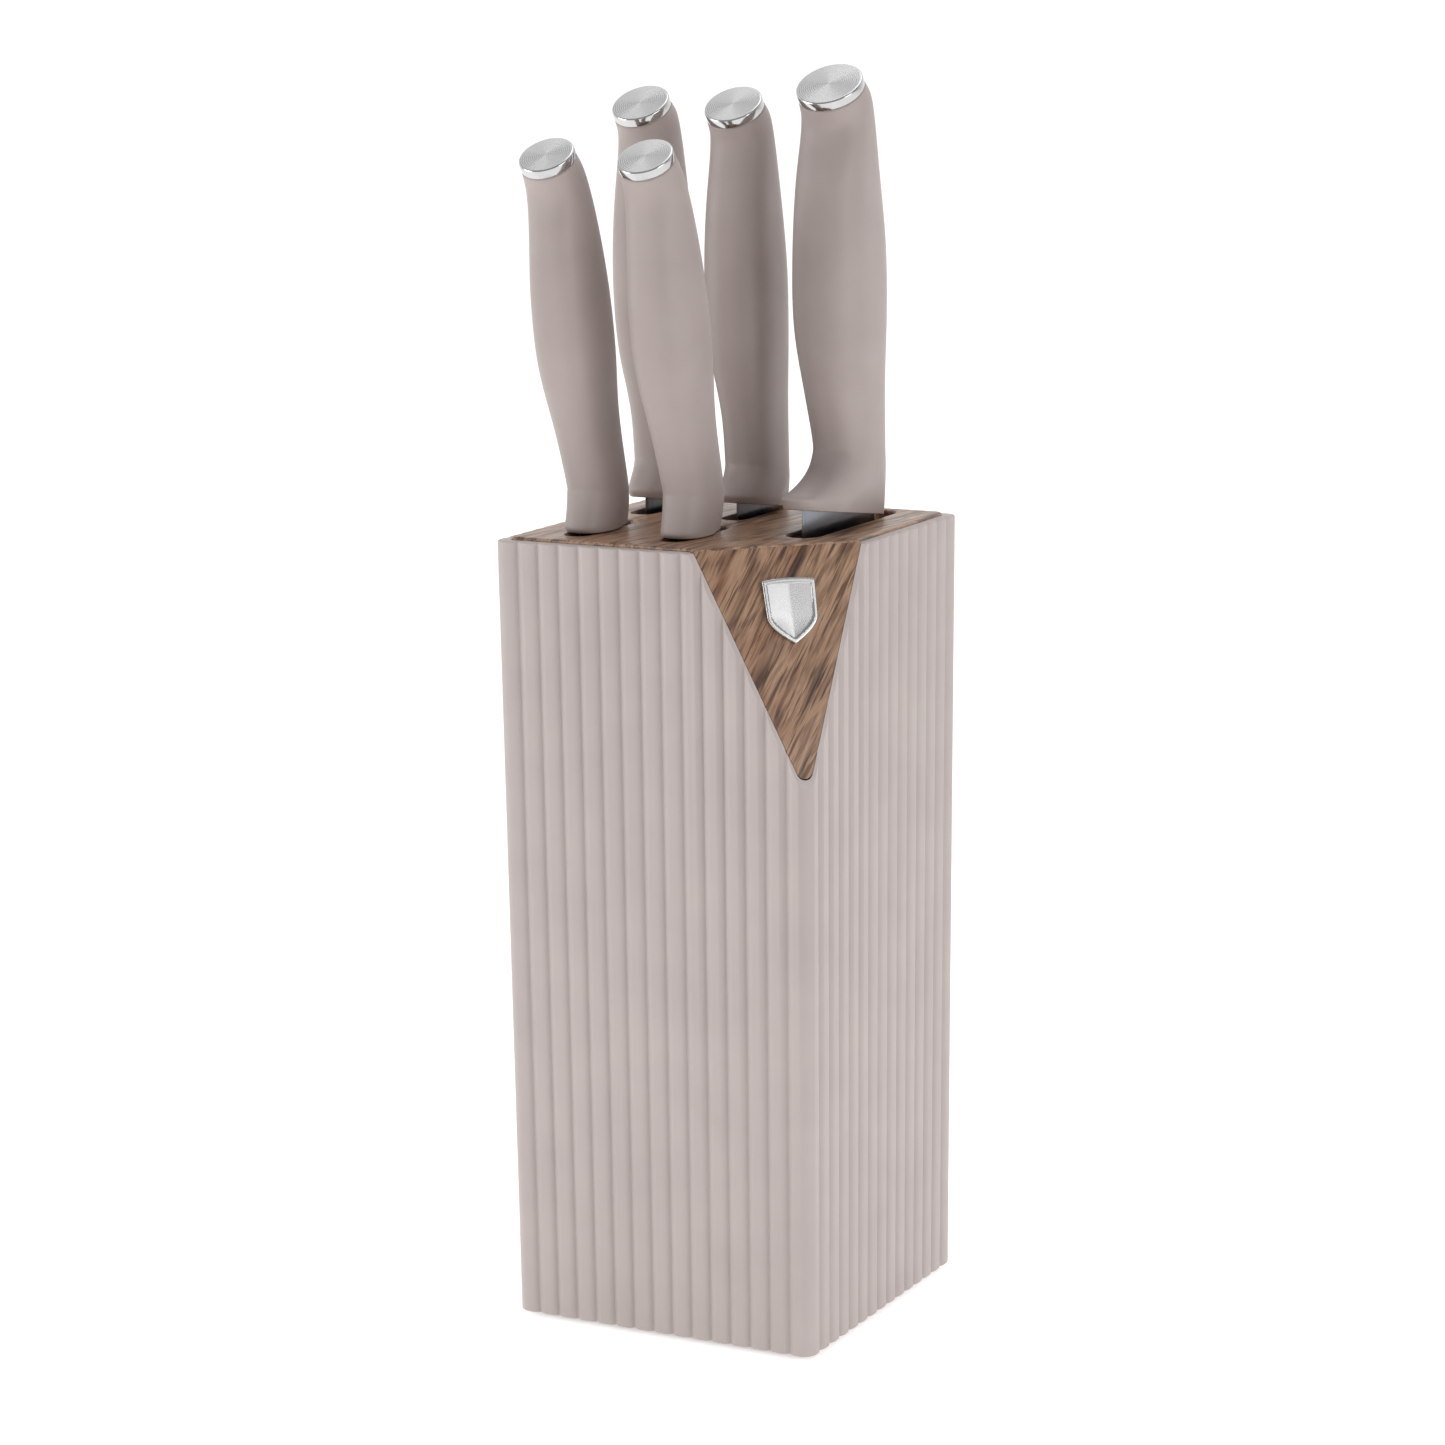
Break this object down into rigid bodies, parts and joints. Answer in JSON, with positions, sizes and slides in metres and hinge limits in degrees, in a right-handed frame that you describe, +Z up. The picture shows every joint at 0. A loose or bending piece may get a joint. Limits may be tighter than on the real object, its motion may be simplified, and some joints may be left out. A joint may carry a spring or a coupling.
{
  "type": "knife block with knives",
  "caption": "Square ribbed knife block with a wood finished top and cut corner panel, holding kitchen knives with curved soft grips and steel end caps that lift out upwards.",
  "frame": {"origin": "centre of the block's footprint on the worktop, at the underside of the feet", "axes": "+Z up; +X to the right along the face whose right-hand corner is cut; +Y towards the back, where the blades' spines point"},
  "size_m": [0.105, 0.1112, 0.381],
  "materials": {
    "shell_abs": "taupe ABS, moulded with a fine satin texture",
    "wood_finish": "walnut grain under a satin lacquer",
    "badge_metal": "bright satin die casting",
    "zinc_steel": "zinc plated",
    "black_plastic": "black polypropylene",
    "foot_rubber": "black rubber",
    "blade_steel": "ground and satin polished along the blade",
    "core_plastic": "hard polypropylene",
    "grip_soft_touch": "taupe soft-touch moulding",
    "cap_steel": "spun face, polished rim"
  },
  "bodies": {
    "block": {"outer_shell": "shell_abs", "wood_top": "wood_finish", "badge": "badge_metal", "badge_push_nuts": "zinc_steel", "base_plate": "black_plastic", "base_screws": "zinc_steel", "top_screws": "zinc_steel", "foot_front_left": "foot_rubber", "foot_front_right": "foot_rubber", "foot_back_left": "foot_rubber", "foot_back_right": "foot_rubber", "foot_middle": "foot_rubber", "sleeve_tray": "black_plastic", "chef_sleeve": "black_plastic", "bread_sleeve": "black_plastic", "slicer_sleeve": "black_plastic", "utility_sleeve": "black_plastic", "paring_sleeve": "black_plastic"},
    "chef_knife": {"chef_blade": "blade_steel", "chef_core": "core_plastic", "chef_grip": "grip_soft_touch", "chef_end_cap": "cap_steel"},
    "bread_knife": {"bread_blade": "blade_steel", "bread_core": "core_plastic", "bread_grip": "grip_soft_touch", "bread_end_cap": "cap_steel"},
    "slicer_knife": {"slicer_blade": "blade_steel", "slicer_core": "core_plastic", "slicer_grip": "grip_soft_touch", "slicer_end_cap": "cap_steel"},
    "utility_knife": {"utility_blade": "blade_steel", "utility_core": "core_plastic", "utility_grip": "grip_soft_touch", "utility_end_cap": "cap_steel"},
    "paring_knife": {"paring_blade": "blade_steel", "paring_core": "core_plastic", "paring_grip": "grip_soft_touch", "paring_end_cap": "cap_steel"}
  },
  "joints": [
    {"name": "chef_draw", "type": "slide", "parent": "block", "child": "chef_knife", "axis": [0, 0, 1], "range_m": [0, 0.22]},
    {"name": "bread_draw", "type": "slide", "parent": "block", "child": "bread_knife", "axis": [0, 0, 1], "range_m": [0, 0.22]},
    {"name": "slicer_draw", "type": "slide", "parent": "block", "child": "slicer_knife", "axis": [0, 0, 1], "range_m": [0, 0.22]},
    {"name": "utility_draw", "type": "slide", "parent": "block", "child": "utility_knife", "axis": [0, 0, 1], "range_m": [0, 0.15]},
    {"name": "paring_draw", "type": "slide", "parent": "block", "child": "paring_knife", "axis": [0, 0, 1], "range_m": [0, 0.11]}
  ]
}
